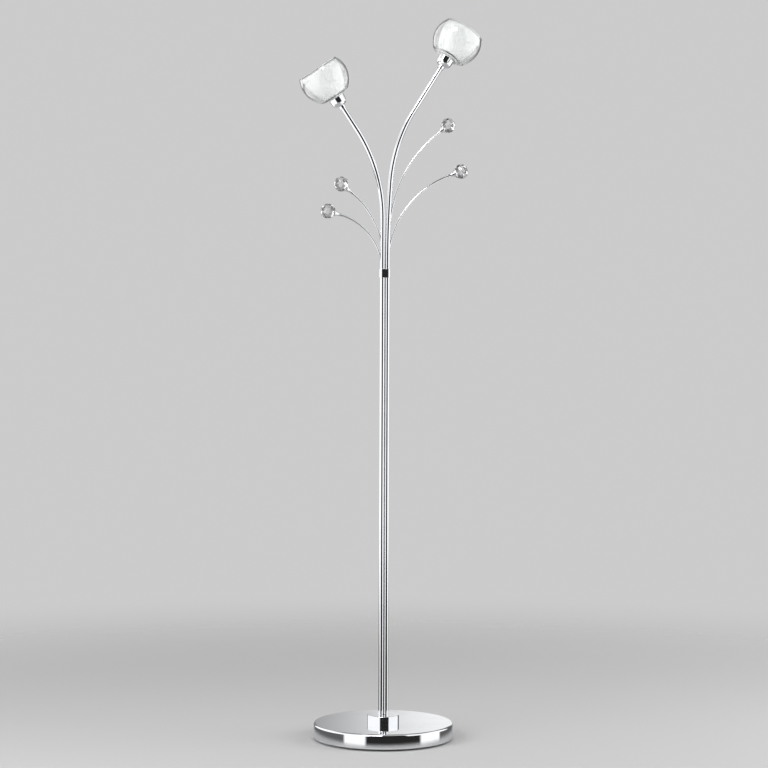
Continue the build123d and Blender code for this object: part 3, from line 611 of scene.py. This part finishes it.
stem = {
    "tubeR": 5.0,
    "wall": 1.0,
    "tubeX": 5.05,
    "foot": 33.0,  # heights of the tubes' lower ends and of the joint above them
    "joint": 933.0,
    "slide": 0.05,  # room round a tube where it passes through a piece
    "segments": 64,
    "spans": 3,
}
collar = {
    "radius": 32.0,
    "height": 15.0,
    "wall": 2.0,
    "soft": 1.2,
    "slotReach": 12.0,  # the tubes' opening lies within this radius
    "slotSoft": 0.3,
    "segments": 128,
}
sleeve = {
    "length": 17.5,
    "wall": 1.5,
    "soft": 0.5,
    "segments": 96,
    "grubR": 1.55,
    "grubDrop": 4.4,
    "grubDepth": 5.96,
    "grubAway": 3.0,  # the drill's middle, out from the slot's side
}


def makeCollar(size):
    r, bottom, top = size["radius"], stem["foot"], stem["foot"] + size["height"]
    slotR = stem["tubeR"] + stem["slide"]
    bm = bmesh.new()
    count, under = size["segments"], top - size["wall"]
    loops = [
        addLoop(bm, r, bottom, count),
        addLoop(bm, r, top, count),
        addLoop(bm, slotR, top, count, stem["tubeX"]),
        addLoop(bm, slotR, under, count, stem["tubeX"]),
        addLoop(bm, r - size["wall"], under, count),
        addLoop(bm, r - size["wall"], bottom, count),
    ]
    bridgeLoops(bm, loops)
    rim, high, reach = r - rimReach, top - rimReach, size["slotReach"]
    softenSharp(bm, size["soft"], 3, lambda co: hypot(*co.xy) > rim and co.z > high)
    softenSharp(bm, size["slotSoft"], 2, lambda co: hypot(*co.xy) < reach and co.z > high)
    finishPiece("base_collar_turned", bm, "lamp", "chrome", ["base_collar"])


def makeSleeve(size):
    slotR = stem["tubeR"] + stem["slide"]
    low, high = stem["joint"] - size["length"] / 2, stem["joint"] + size["length"] / 2
    outer, count, tubeX = slotR + size["wall"], size["segments"], stem["tubeX"]
    bm = bmesh.new()
    loops = [
        addLoop(bm, outer, low, count, tubeX),
        addLoop(bm, outer, high, count, tubeX),
        addLoop(bm, slotR, high, count, tubeX),
        addLoop(bm, slotR, low, count, tubeX),
    ]
    bridgeLoops(bm, loops)
    rim = outer - rimReach
    softenSharp(bm, size["soft"], 4, lambda co: hypot(max(abs(co.x) - tubeX, 0), co.y) > rim)
    piece = finishPiece("joint_sleeve_pressed", bm, "lamp", "chrome", ["joint_sleeve"])
    for x in (-tubeX, tubeX):
        bm = bmesh.new()
        middle = (x, slotR + size["grubAway"], stem["joint"] - size["grubDrop"])
        bmesh.ops.create_cone(
            bm, cap_ends=True, segments=32, radius1=size["grubR"], radius2=size["grubR"],
            depth=size["grubDepth"], matrix=Matrix.Translation(middle) @ alongDepth,
        )
        cutAway(piece, makeCutter(bm))


def startTube(radius, x, z, lean, segments):
    # the first ring of a tube or rod, square to its lean in the plane of the arms
    bm = bmesh.new()
    bmesh.ops.create_circle(bm, cap_ends=False, segments=segments, radius=radius)
    place = Matrix.Translation((x, 0, z)) @ Matrix.Rotation(radians(lean), 4, "Y")
    bmesh.ops.transform(bm, matrix=place, verts=bm.verts)
    ring = bm.edges[:]
    return {"bm": bm, "foot": ring, "tip": ring, "end": Vector((x, 0, z)), "lean": lean}


def onlyEdges(made):
    return [e for e in made if isinstance(e, bmesh.types.BMEdge)]


def runStraight(tube, length):
    made = bmesh.ops.extrude_edge_only(tube["bm"], edges=tube["tip"])["geom"]
    verts = [v for v in made if isinstance(v, bmesh.types.BMVert)]
    ahead = Vector((sin(radians(tube["lean"])), 0, cos(radians(tube["lean"])))) * length
    bmesh.ops.translate(tube["bm"], verts=verts, vec=ahead)
    tube["tip"] = onlyEdges(made)
    tube["end"] = tube["end"] + ahead


def runBend(tube, radius, turn, steps):
    # turn is in degrees, positive towards +X
    lean = radians(tube["lean"])
    aside = Vector((cos(lean), 0, -sin(lean))) * (radius if turn > 0 else -radius)
    centre = tube["end"] + aside
    verts = list(dict.fromkeys(v for e in tube["tip"] for v in e.verts))
    made = bmesh.ops.spin(
        tube["bm"], geom=verts + tube["tip"], cent=centre, axis=(0, 1, 0),
        angle=radians(turn), steps=steps, use_duplicate=False,
    )["geom_last"]
    tube["tip"] = onlyEdges(made)
    tube["end"] = centre - Matrix.Rotation(radians(turn), 3, "Y") @ aside
    tube["lean"] += turn


def closeTube(tube, wall):
    # gives a tube its wall, or closes both ends of a rod
    bm = tube["bm"]
    bmesh.ops.recalc_face_normals(bm, faces=bm.faces)
    if wall:
        bmesh.ops.solidify(bm, geom=bm.verts[:] + bm.edges[:] + bm.faces[:], thickness=wall)
    else:
        for ring in (tube["foot"], tube["tip"]):
            bmesh.ops.edgeloop_fill(bm, edges=ring)
    return bm


def makeStemTube(side, size):
    tube = startTube(size["tubeR"], sides[side] * size["tubeX"], size["foot"], 0, size["segments"])
    for span in range(size["spans"]):
        runStraight(tube, (size["joint"] - size["foot"]) / size["spans"])
    bm = closeTube(tube, size["wall"])
    finishPiece("stem_tube_drawn_" + side, bm, "lamp", "chrome", ["stem_tube_" + side])


makeCollar(collar)
makeSleeve(sleeve)
for side in sides:
    makeStemTube(side, stem)
print("stem done")

arms = {
    "left": {"rise": 111.0, "bends": [(310.0, 34.4)], "reach": 54.0},
    "right": {"rise": 22.0, "bends": [(2180.0, 4.2), (322.0, 28.1)], "reach": 106.0},
}
rods = {
    "upper_left": {"arm": "left", "root": 72.3, "rootLean": 15.8, "bend": 165.9, "tipLean": 52.0},
    "lower_left": {"arm": "left", "root": 34.3, "rootLean": 15.2, "bend": 113.3, "tipLean": 74.7},
    "upper_right": {"arm": "right", "root": 118.6, "rootLean": 9.3, "bend": 266.5, "tipLean": 51.3},
    "lower_right": {"arm": "right", "root": 58.7, "rootLean": 13.1, "bend": 199.3, "tipLean": 68.6},
}
rod = {
    "radius": 2.0,
    "rootLength": 16.0,  # the part of the bend that runs on inside the arm, and is cut away
    "socket": 5.0,
    "segments": 32,
    "steps": 32,
}
armEnd = {"past": 10.8, "steps": 36}  # how far the tube runs on into its chrome cup


def makeArm(side, wall):
    size, sign = arms[side], sides[side]
    tube = startTube(stem["tubeR"], sign * stem["tubeX"], stem["joint"], 0, stem["segments"])
    runStraight(tube, size["rise"])
    for radius, turn in size["bends"]:
        runBend(tube, radius, sign * turn, armEnd["steps"])
    runStraight(tube, size["reach"] + armEnd["past"])
    return closeTube(tube, wall)


def armOffset(side, height):
    radius = arms[side]["bends"][0][0]
    climb = max(0, height - arms[side]["rise"])
    return radius - sqrt(radius**2 - climb**2)


def axisFrame(origin, lean):
    # a frame whose Z runs along a lean in the plane of the arms
    return Matrix.Translation(origin) @ Matrix.Rotation(radians(lean), 4, "Y")


def makeRod(name, size):
    side = size["arm"]
    sign, bend = sides[side], size["bend"]
    firstLean = size["rootLean"] - degrees(rod["rootLength"] / bend)
    rootX = stem["tubeX"] + armOffset(side, size["root"]) + stem["tubeR"]
    backX = bend * (cos(radians(firstLean)) - cos(radians(size["rootLean"])))
    backZ = bend * (sin(radians(size["rootLean"])) - sin(radians(firstLean)))
    start = (sign * (rootX - backX), stem["joint"] + size["root"] - backZ)
    tube = startTube(rod["radius"], *start, sign * firstLean, rod["segments"])
    runBend(tube, bend, sign * (size["tipLean"] - firstLean), rod["steps"])
    tip = axisFrame(tube["end"], tube["lean"])
    runStraight(tube, rod["socket"])
    bm = closeTube(tube, 0)
    piece = finishPiece("branch_rod_bent_" + name, bm, "lamp", "chrome", ["branch_rod_" + name])
    cutAway(piece, makeCutter(makeArm(side, 0)))
    return tip


for side in sides:
    bm = makeArm(side, stem["wall"])
    finishPiece("arm_tube_bent_" + side, bm, "lamp", "chrome", ["arm_tube_" + side])
tips = {name: makeRod(name, size) for name, size in rods.items()}
print("arms and rods done")

trumpet = {
    "line": [
        (0.0, 8.0), (1.55, 8.0), (1.55, 14.9295), (0, 30, 18.7001, 8), (6.3, 15.322),
        (23.4512, 4.0, 33.43, 14), (2.9, 0.0), (2.02, 0.0), (2.02, 5.0), (0.0, 5.0),
    ],
    "lip": (2.9, 0.0, 0.25, 2),
    "steps": 64,
}
for name, place in tips.items():
    bm = turnAround(trumpet["line"], trumpet["steps"])
    softenRings(bm, [trumpet["lip"]])
    cupName = "crystal_cup_turned_" + name
    finishPiece(cupName, bm, "lamp", "chrome", ["crystal_cup_" + name], place)
print("crystal cups done")

crystal = {
    "reach": 30.0,
    "facetDepth": 14.35,
    "rows": [(0, 1), (26, 6), (52, 10), (78, 12), (104, 12), (130, 10), (156, 6), (180, 1)],
    "edge": 0.1,
    "sharp": 1.0,  # degrees past which an edge between facets stays crisp
    "pinR": 1.55,
    "pinDepth": 8.0,
}


def makeCrystal(size):
    # a block cut down to its facets, which are given as rows of lean and count
    bm = bmesh.new()
    bmesh.ops.create_cube(bm, size=4 * size["facetDepth"])
    for row, (lean, count) in enumerate(size["rows"]):
        for facet in range(count):
            spin = radians((facet + row / 2) * 360 / count)
            lift = radians(lean)
            normal = Vector((sin(lift) * cos(spin), sin(lift) * sin(spin), cos(lift)))
            made = bmesh.ops.bisect_plane(
                bm, geom=bm.verts[:] + bm.edges[:] + bm.faces[:], dist=0.0001,
                plane_co=normal * size["facetDepth"], plane_no=normal, clear_outer=True,
            )["geom_cut"]
            bmesh.ops.edgeloop_fill(bm, edges=onlyEdges(made))
    bmesh.ops.recalc_face_normals(bm, faces=bm.faces)
    bmesh.ops.bevel(
        bm, geom=bm.edges[:], affect="EDGES", offset=size["edge"], offset_type="OFFSET",
        segments=1, profile=0.5, material=-1,
    )
    return bm


def makeBall(name, place, size):
    bm = makeCrystal(size)
    place = place @ Matrix.Translation((0, 0, size["reach"]))
    ball = finishPiece(
        "crystal_ball_cut_" + name, bm, "lamp", "crystal", ["crystal_ball_" + name],
        place, sharp=size["sharp"],
    )
    bm = bmesh.new()
    low = Matrix.Translation((0, 0, -size["facetDepth"]))
    bmesh.ops.create_cone(
        bm, cap_ends=True, segments=48, radius1=size["pinR"], radius2=size["pinR"],
        depth=2 * size["pinDepth"], matrix=place @ low,
    )
    cutAway(ball, makeCutter(bm))


for name, place in tips.items():
    makeBall(name, place, crystal)
print("crystals done")

# each head piece as a turned outline, with the corners that are rounded
headLines = {
    "arm_collar": {
        "line": [(5.05, -4), (6.5, -4), (6.5, 2.4), (5.05, 2.4), (5.05, -4)],
        "soft": [(6.5, -4, 0.5, 3), (5.05, -4, 0.2, 2)],
        "slot": "chrome", "body": "lamp", "steps": 64,
    },
    "holder_cup": {
        "line": [
            (5.05, 2.4), (15.3, 2.4), (16.2, 21.5), (15.0, 21.5), (14.1, 5.6), (5.05, 5.6),
            (5.05, 2.4),
        ],
        "soft": [(15.3, 2.4, 9.85, 20), (14.1, 5.6, 4.54, 10), (16.2, 21.5, 0.3, 3)],
        "slot": "chrome", "body": "lamp", "steps": 128,
    },
    "glass_gasket": {
        "line": [(13.2, 21.5), (16.2, 21.5), (16.2, 22.5), (13.2, 22.5), (13.2, 21.5)],
        "soft": [(16.2, 21.5, 0.3, 3), (16.2, 22.5, 0.3, 3)],
        "slot": "clear_silicone", "body": "lamp", "steps": 96,
    },
    "carrier_sleeve": {
        "line": [
            (5.05, 5.6), (9.3, 5.6), (11.2, 7.5), (11.2, 38.0), (10.0, 38.0), (10.0, 35.2),
            (10.5, 35.2), (10.5, 34.0), (10.0, 34.0), (10.0, 7.1), (5.05, 7.1), (5.05, 5.6),
        ],
        "soft": [(11.2, 38.0, 0.4, 2), (10.0, 38.0, 0.3, 2)],
        "slot": "turned_aluminium", "body": "lamp", "steps": 96,
    },
    "outer_glass": {
        "line": [
            (11.8, 22.55), (18.0, 22.55), (18.0, 48.3, 47.92498, 14), (0.0, 64.55, 73.40727, 40),
            (39.15354, 90.55), (0.0, 64.55, -80.44998, 40), (25.29822, 37.55, -43.13626, 10),
            (11.8, 27.55), (11.8, 22.55),
        ],
        "soft": [
            (42.70831, 90.55, 1.2, 5), (39.15354, 90.55, 1.2, 5),
            (11.8, 22.55, 0.4, 2), (11.8, 27.55, 0.4, 2),
        ],
        "slot": "clear_glass", "body": "shade", "steps": 160,
    },
    "inner_glass": {
        "line": [
            (11.8, 27.55), (23.5, 27.55), (-68.5813, 85.6549, 32.1974, 32), (37.7, 85.55),
            (-75.6409, 87.8074, -29.1956, 32), (11.8, 30.55), (11.8, 27.55),
        ],
        "soft": [
            (40.3, 85.55, 0.9, 4), (37.7, 85.55, 0.9, 4),
            (23.5, 27.55, 0.9, 4), (11.8, 30.55, 0.4, 2),
        ],
        "slot": "frosted_glass", "body": "shade", "steps": 160,
    },
}
ringJointHeight = 33.0  # along the head's axis, from the end of the arm's centre line
headFrames = {}
for joint in frame["joints"]:
    if joint["name"].startswith("ring_turn_"):
        side = joint["name"].split("_")[-1]
        along = Vector(joint["axis"])
        origin = Vector(joint["pos_m"]) * 1000 - along * ringJointHeight
        headFrames[side] = axisFrame(origin, degrees(atan2(along.x, along.z)))

for side, place in headFrames.items():
    for name, size in headLines.items():
        bm = turnAround(size["line"], size["steps"])
        softenRings(bm, size["soft"])
        body = "lamp" if size["body"] == "lamp" else "shade_" + side
        finishPiece(f"{name}_turned_{side}", bm, body, size["slot"], [f"{name}_{side}"], place)
print("heads done")

ring = {
    "radius": 17.0,
    "boreR": 11.3,
    "low": 30.65,
    "high": 35.65,
    "soft": 0.3,
    "notchR": 1.4,
    "notches": 12,
    "steps": 192,
}


def makeRing(size):
    low, high, bore, outer = size["low"], size["high"], size["boreR"], size["radius"]
    bm = turnAround(
        [(bore, low), (outer, low), (outer, high), (bore, high), (bore, low)], size["steps"]
    )
    softenRings(bm, [(bore, low, size["soft"], 2), (bore, high, size["soft"], 2)])
    every = 360 / size["notches"]
    for v in bm.verts:
        if hypot(*v.co.xy) > outer - rimReach:
            turn = degrees(atan2(v.co.y, v.co.x)) % every
            aside = radians(min(turn, every - turn)) * outer
            if aside < size["notchR"]:
                shrink = 1 - sqrt(size["notchR"] ** 2 - aside**2) / outer
                v.co.x, v.co.y = v.co.x * shrink, v.co.y * shrink
    return bm


for side, place in headFrames.items():
    finishPiece(
        "shade_ring_notched_" + side, makeRing(ring), "ring_" + side, "turned_aluminium",
        ["shade_ring_" + side], place, sharp=50,
    )
print("rings done")

bulb = {
    "segments": 64,
    "outer": [
        (2.25, 26.0, 2.5), (2.25, 34.4, 2.5), (2.5, 35.0, 2.45), (3.4, 35.9, 2.0), (4.7, 36.7, 1.2),
        (5.8, 37.6, 0.6), (6.5, 38.8, 0.2), (6.75, 40.2, 0.0), (6.75, 67.0, 0.0),
    ],
    "inner": [
        (1.0, 38.0, 0.0), (3.4, 38.15, 0.0), (4.9, 38.9, 0.0), (5.75, 40.8, 0.0), (5.75, 67.0, 0.0),
    ],
    "dome": 5.0,
    "wall": 1.0,
    "domeSteps": 10,
    "pinR": 0.4,
    "pinX": 4.5,
    "pinLow": 22.0,
    "pinHigh": 31.0,
    "postR": 0.3,
    "postX": 2.5,
    "postLow": 38.0,
    "filament": 52.0,
    "coilR": 0.4,
    "wireR": 0.09,
    "coilTurns": 15,
    "turnSteps": 16,
    "pinSegments": 16,
    "coilSegments": 8,
}


def makeShell(bm, rings, dome, size):
    # rings of radius, height and half straight, then a dome closed at its pole
    count = size["segments"]
    top, shoulder = rings[-1][0] - dome, rings[-1][1]
    loops = [addLoop(bm, r, h, count, straight) for r, h, straight in rings]
    for step in range(1, size["domeSteps"] + 1):
        turn = radians(90 * step / size["domeSteps"])
        loops.append(addLoop(bm, top + dome * cos(turn), shoulder + dome * sin(turn), count))
    for first, second in zip(loops, loops[1:]):
        bmesh.ops.bridge_loops(bm, edges=first + second)
    for ring in (loops[0], loops[-1]):
        bmesh.ops.edgeloop_fill(bm, edges=ring)


def makeBulb(size):
    bm = bmesh.new()
    makeShell(bm, size["inner"], size["dome"] - size["wall"], size)
    bmesh.ops.recalc_face_normals(bm, faces=bm.faces)
    bmesh.ops.reverse_faces(bm, faces=bm.faces)
    hollow = set(bm.faces)
    makeShell(bm, size["outer"], size["dome"], size)
    bmesh.ops.recalc_face_normals(bm, faces=[f for f in bm.faces if f not in hollow])
    return bm


def addWire(bm, radius, start, end, segments):
    ahead = end - start
    turn = ahead.to_track_quat("Z", "Y").to_matrix().to_4x4()
    place = Matrix.Translation((start + end) / 2) @ turn
    bmesh.ops.create_cone(
        bm, cap_ends=True, segments=segments, radius1=radius, radius2=radius,
        depth=ahead.length, matrix=place,
    )


def makeWires(size):
    bm = bmesh.new()
    spans = [
        (size["pinR"], size["pinX"], size["pinLow"], size["pinHigh"]),
        (size["postR"], size["postX"], size["postLow"], size["filament"]),
    ]
    for sign in (-1, 1):
        for radius, x, low, high in spans:
            start, end = Vector((sign * x, 0, low)), Vector((sign * x, 0, high))
            addWire(bm, radius, start, end, size["pinSegments"])
    # the coiled filament between the posts
    steps = size["coilTurns"] * size["turnSteps"]
    start = Matrix.Translation((-size["postX"], 0, size["filament"] + size["coilR"]))
    made = bmesh.ops.create_circle(
        bm, cap_ends=False, segments=size["coilSegments"], radius=size["wireR"],
        matrix=start @ alongDepth,
    )["verts"]
    foot = edgesAround(made)
    last = bmesh.ops.spin(
        bm, geom=made + foot, cent=(0, 0, size["filament"]), axis=(1, 0, 0),
        dvec=(2 * size["postX"] / steps, 0, 0), angle=2 * pi * size["coilTurns"], steps=steps,
        use_duplicate=False,
    )["geom_last"]
    for rim in (foot, onlyEdges(last)):
        bmesh.ops.edgeloop_fill(bm, edges=rim)
    bmesh.ops.recalc_face_normals(bm, faces=bm.faces)
    return bm


for side, place in headFrames.items():
    body = "bulb_" + side
    finishPiece("bulb_capsule_" + side, makeBulb(bulb), body, "bulb_glass", ["bulb_" + side], place)
    name = "bulb_wires_" + side
    finishPiece("bulb_wires_drawn_" + side, makeWires(bulb), body, "bulb_metal", [name], place)
print("bulbs done")

slots = {part["node"]: part["material_slot"] for part in frame["record"]["subparts"]}
for name, node in nodes.items():
    node.data.materials.clear()
    node.data.materials.append(looks[slots[name]])

stage = {
    "floorR": 6.0,
    "floorTone": 0.54,
    "floorRoughness": 0.8,
    "floorGloss": 0.1,
    "fade": (0.7, 2.6),  # metres from the lamp over which the floor gives way to the backdrop
    "mirrorFade": (0.165, 0.23),  # the same, for what metal and glass mirror
}
# turns are degrees round from the camera, positive to the right, and rises are above level
room = {
    "backdrop": 0.60,
    "fill": 0.5,
    "dim": 0.025,  # the dim end of the room, behind the camera
    "dimSoft": 3,
    "side": 0.13,
    "sideTurn": (150, 176),  # where the sides give way to the backdrop
    "ceiling": 0.16,
    "ceilingRise": (28, 45),
    "ground": 0.5,
    "groundRise": (-40, -24),
    "panel": 1.35,  # the two tall light panels
    "panelRise": (-46, 48),
    "panelRiseSoft": 12,
    "panelSoft": 3,
    "leftPanel": (-67, -29),
    "rightPanel": (64, 106),
    "leftWing": (-150, -24),  # the same where they spread out, above and below the collar's view
    "rightWing": (40, 130),
    "collarRise": -10.5,
    "spreadOver": (1.5, 6.5),
    "glow": (0.24, 1.08),  # the backdrop low down, at the left and at the right
    "glowAside": (-0.07, 0.05),
    "glowRise": (5, 17),
    "glowTurn": (150, 172),
    "glowSoft": 3,
    "overhead": 0.9,
    "overheadTurn": (-110, 110),
    "overheadRise": (56, 76),
    "overheadSoft": (4, 3),
    "window": 9.0,  # a small softbox high on the left
    "windowTurn": (-42, -2),
    "windowRise": (38, 58),
    "windowSoft": (1, 1),
    "bent": (-0.99, -0.88),  # how far glass bends the view before it shows the room
}


def makeFloor(size):
    bm = bmesh.new()
    bmesh.ops.create_circle(bm, cap_ends=True, segments=96, radius=size["floorR"])
    mesh = bpy.data.meshes.new("floor")
    bm.to_mesh(mesh)
    bm.free()
    floor = bpy.data.objects.new("floor", mesh)
    bpy.context.scene.collection.objects.link(floor)
    tone = size["floorTone"]
    settings = {
        "Base Color": (tone, tone, tone, 1), "Roughness": size["floorRoughness"],
        "Specular IOR Level": size["floorGloss"],
    }
    material, tree, shader, place = startMaterial("pale floor", settings)
    away = addNode(tree, "ShaderNodeVectorMath", {0: place}, operation="LENGTH").outputs["Value"]
    path = tree.nodes.new("ShaderNodeLightPath")
    seen = addRange(tree, away, *size["fade"])
    mirrored = addRange(tree, away, *size["mirrorFade"])
    share = addMix(tree, path.outputs["Is Glossy Ray"], seen, mirrored)
    clear = tree.nodes.new("ShaderNodeBsdfTransparent").outputs[0]
    mix = addNode(tree, "ShaderNodeMixShader", {0: share, 1: shader.outputs[0], 2: clear})
    tree.links.new(mix.outputs[0], tree.nodes["Material Output"].inputs["Surface"])
    mesh.materials.append(material)


def addBand(tree, value, span, soft):
    # one inside a span of degrees, nothing outside it
    low, high = (radians(edge) for edge in span)
    soft = radians(soft)
    rise = addRange(tree, value, low - soft, low + soft)
    fall = addRange(tree, value, high - soft, high + soft, 1.0, 0.0)
    return addMath(tree, "MULTIPLY", rise, fall)


def addPatch(tree, turn, rise, size, name):
    # a lit field in the room, given by its turn, rise and softness
    turnSoft, riseSoft = size[name + "Soft"]
    across = addBand(tree, turn, size[name + "Turn"], turnSoft)
    return addMath(tree, "MULTIPLY", across, addBand(tree, rise, size[name + "Rise"], riseSoft))


def addPanel(tree, turn, steep, level, wing, soft):
    # a light panel whose two edges move from one span to another as the view rises or falls
    edges = [addMix(tree, steep, radians(a), radians(b)) for a, b in zip(level, wing)]
    past = [addMath(tree, "SUBTRACT", turn, edge) for edge in edges]
    soft = radians(soft)
    inside = addRange(tree, past[0], -soft, soft)
    return addMath(tree, "MULTIPLY", inside, addRange(tree, past[1], -soft, soft, 1.0, 0.0))


def addTurned(tree, value, span, toLow=0.0, toHigh=1.0):
    # a range whose span is in degrees
    return addRange(tree, value, radians(span[0]), radians(span[1]), toLow, toHigh)


def makeWorld(size):
    # an even pale room; metal and glass also mirror its panels and the dim end behind the camera
    world = bpy.data.worlds.new("studio")
    bpy.context.scene.world = world
    world.use_nodes = True
    tree = world.node_tree
    way = tree.nodes.new("ShaderNodeTexCoord").outputs["Generated"]
    facing = addNode(
        tree, "ShaderNodeVectorMath", {0: way, 1: towardsCamera}, operation="DOT_PRODUCT"
    ).outputs["Value"]
    aside = addNode(
        tree, "ShaderNodeVectorMath", {0: way, 1: cameraRight}, operation="DOT_PRODUCT"
    ).outputs["Value"]
    turn = addMath(tree, "ARCTAN2", aside, facing)
    rise = addMath(tree, "ARCSINE", addNode(tree, "ShaderNodeSeparateXYZ", {0: way}).outputs["Z"])
    awayTurn = addMath(tree, "ABSOLUTE", turn)
    around = addTurned(tree, awayTurn, size["sideTurn"], size["side"], size["backdrop"])
    dimSpan = (size["leftPanel"][0], size["rightPanel"][1])
    around = addMix(tree, addBand(tree, turn, dimSpan, size["dimSoft"]), around, size["dim"])
    # the polished top of the base mirrors a soft fall of light on the low backdrop
    fallOff = addRange(tree, aside, *size["glowAside"], *size["glow"])
    lowBack = addMath(
        tree, "MULTIPLY",
        addBand(tree, rise, size["glowRise"], size["glowSoft"]),
        addTurned(tree, awayTurn, size["glowTurn"]),
    )
    around = addMix(tree, lowBack, around, fallOff)
    # the panels are narrow where the collar and base mirror them, and spread above and below
    offCollar = addMath(tree, "SUBTRACT", rise, radians(size["collarRise"]))
    steep = addTurned(tree, addMath(tree, "ABSOLUTE", offCollar), size["spreadOver"])
    panels = addMath(
        tree, "ADD",
        addPanel(tree, turn, steep, size["leftPanel"], size["leftWing"], size["panelSoft"]),
        addPanel(tree, turn, steep, size["rightPanel"], size["rightWing"], size["panelSoft"]),
    )
    around = addMix(tree, addTurned(tree, rise, size["ceilingRise"]), around, size["ceiling"])
    overhead = addPatch(tree, turn, rise, size, "overhead")
    around = addMix(tree, overhead, around, size["overhead"])
    below = addTurned(tree, rise, size["groundRise"], 1.0, 0.0)
    around = addMix(tree, below, around, size["ground"])
    tall = addBand(tree, rise, size["panelRise"], size["panelRiseSoft"])
    around = addMix(tree, addMath(tree, "MULTIPLY", panels, tall), around, size["panel"])
    window = addPatch(tree, turn, rise, size, "window")
    mirrored = addMix(tree, window, around, size["window"])
    # glass shows the backdrop, and the room only where it bends the view far round
    through = addMix(tree, addRange(tree, facing, *size["bent"]), size["backdrop"], around)
    path = tree.nodes.new("ShaderNodeLightPath")
    strength = addMix(tree, path.outputs["Is Diffuse Ray"], size["backdrop"], size["fill"])
    strength = addMix(tree, path.outputs["Is Glossy Ray"], strength, mirrored)
    strength = addMix(tree, path.outputs["Is Transmission Ray"], strength, through)
    shader = tree.nodes["Background"]
    shader.inputs["Color"].default_value = (1, 1, 1, 1)
    tree.links.new(strength, shader.inputs["Strength"])


softbox = {"width": 1.4, "length": 2.0, "distance": 2.3, "aim": 0.8}
lamps = {
    "left softbox": {"turn": -48, "height": 1.3, "power": 48.0},
    "right softbox": {"turn": 85, "height": 1.3, "power": 40.0},
    "front softbox": {"turn": 12, "height": 2.2, "power": 12.0},
}


def addLamp(name, size):
    light = bpy.data.lights.new(name, "AREA")
    light.shape, light.energy = "RECTANGLE", size["power"]
    light.size, light.size_y = softbox["width"], softbox["length"]
    lamp = bpy.data.objects.new(name, light)
    turn = radians(size["turn"])
    way = towardsCamera * cos(turn) + cameraRight * sin(turn)
    lamp.location = way * softbox["distance"] + Vector((0, 0, size["height"]))
    ahead = Vector((0, 0, softbox["aim"])) - lamp.location
    lamp.rotation_euler = ahead.to_track_quat("-Z", "Y").to_euler()
    lamp.visible_camera = False
    lamp.visible_glossy = False
    lamp.visible_transmission = False
    bpy.context.scene.collection.objects.link(lamp)


makeFloor(stage)
makeWorld(room)
for name, size in lamps.items():
    addLamp(name, size)
bpy.context.scene.view_settings.view_transform = "Standard"
print("stage and lights done")
